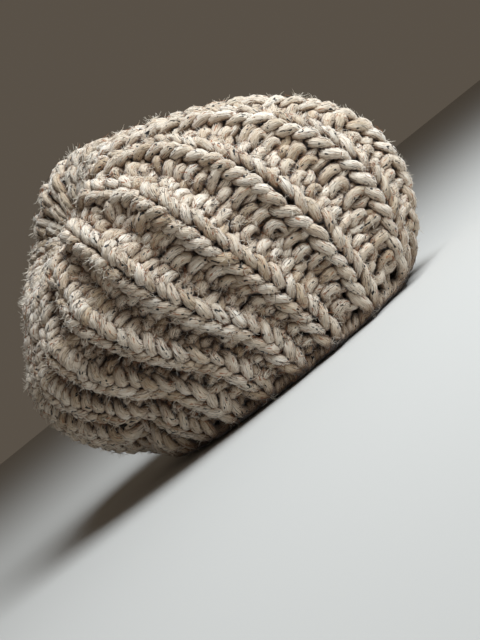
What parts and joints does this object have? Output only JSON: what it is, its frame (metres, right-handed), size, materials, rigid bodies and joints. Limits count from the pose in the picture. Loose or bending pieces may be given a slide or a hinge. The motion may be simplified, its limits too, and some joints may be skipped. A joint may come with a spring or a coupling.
{
  "type": "slouchy beanie",
  "caption": "Slouchy rib-knitted beanie in super bulky tweed yarn: a stretched brim, a wide bag that folds over at the back, and a gathered crown.",
  "frame": {"origin": "middle of the hat's bounding box in plan, in the plane of the cast-on edge that it rests on", "axes": "+X towards the forehead, -Y towards the wearer's right ear, +Z from the cast-on edge up to the crown"},
  "size_m": [0.3312, 0.241, 0.2415],
  "materials": {
    "tweed_yarn": "oatmeal wool-blend roving, softly twisted, with near-black and rust flecks and a fine fuzzy halo"
  },
  "bodies": {
    "root": {"brim_band": "tweed_yarn", "slouch_body": "tweed_yarn", "crown_gather": "tweed_yarn"}
  },
  "joints": []
}
